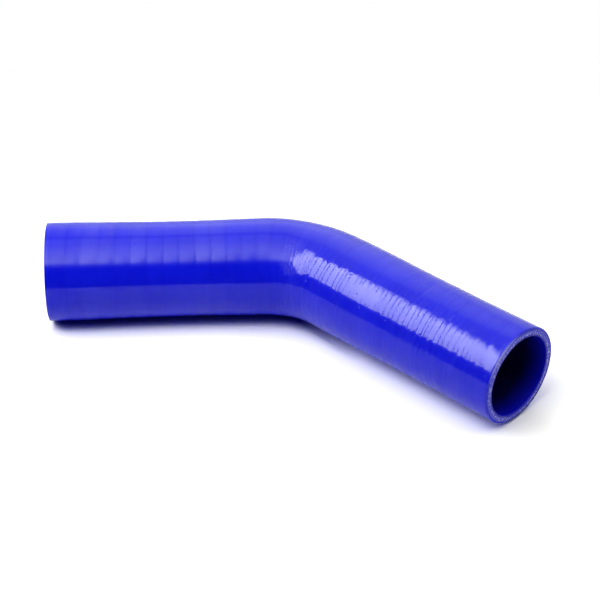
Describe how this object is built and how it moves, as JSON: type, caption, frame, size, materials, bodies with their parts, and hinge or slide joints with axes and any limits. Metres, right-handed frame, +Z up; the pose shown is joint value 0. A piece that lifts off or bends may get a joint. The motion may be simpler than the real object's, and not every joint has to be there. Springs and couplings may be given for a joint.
{
  "type": "silicone elbow hose",
  "caption": "Moulded silicone elbow hose with straight legs either side of a 45 degree bend and square-cut open ends, pushed over pipe ends and clamped.",
  "frame": {"origin": "middle of the hose's bounding box in plan, on the ground that it lies on", "axes": "+X along leg A from its cut end towards the bend, past which the hose turns towards -Y; +Z up, square to the plane of the bend"},
  "size_m": [0.2682, 0.1538, 0.0552],
  "materials": {
    "silicone": "glossy blue silicone rubber"
  },
  "bodies": {
    "root": {"elbow_hose": "silicone"}
  },
  "joints": []
}
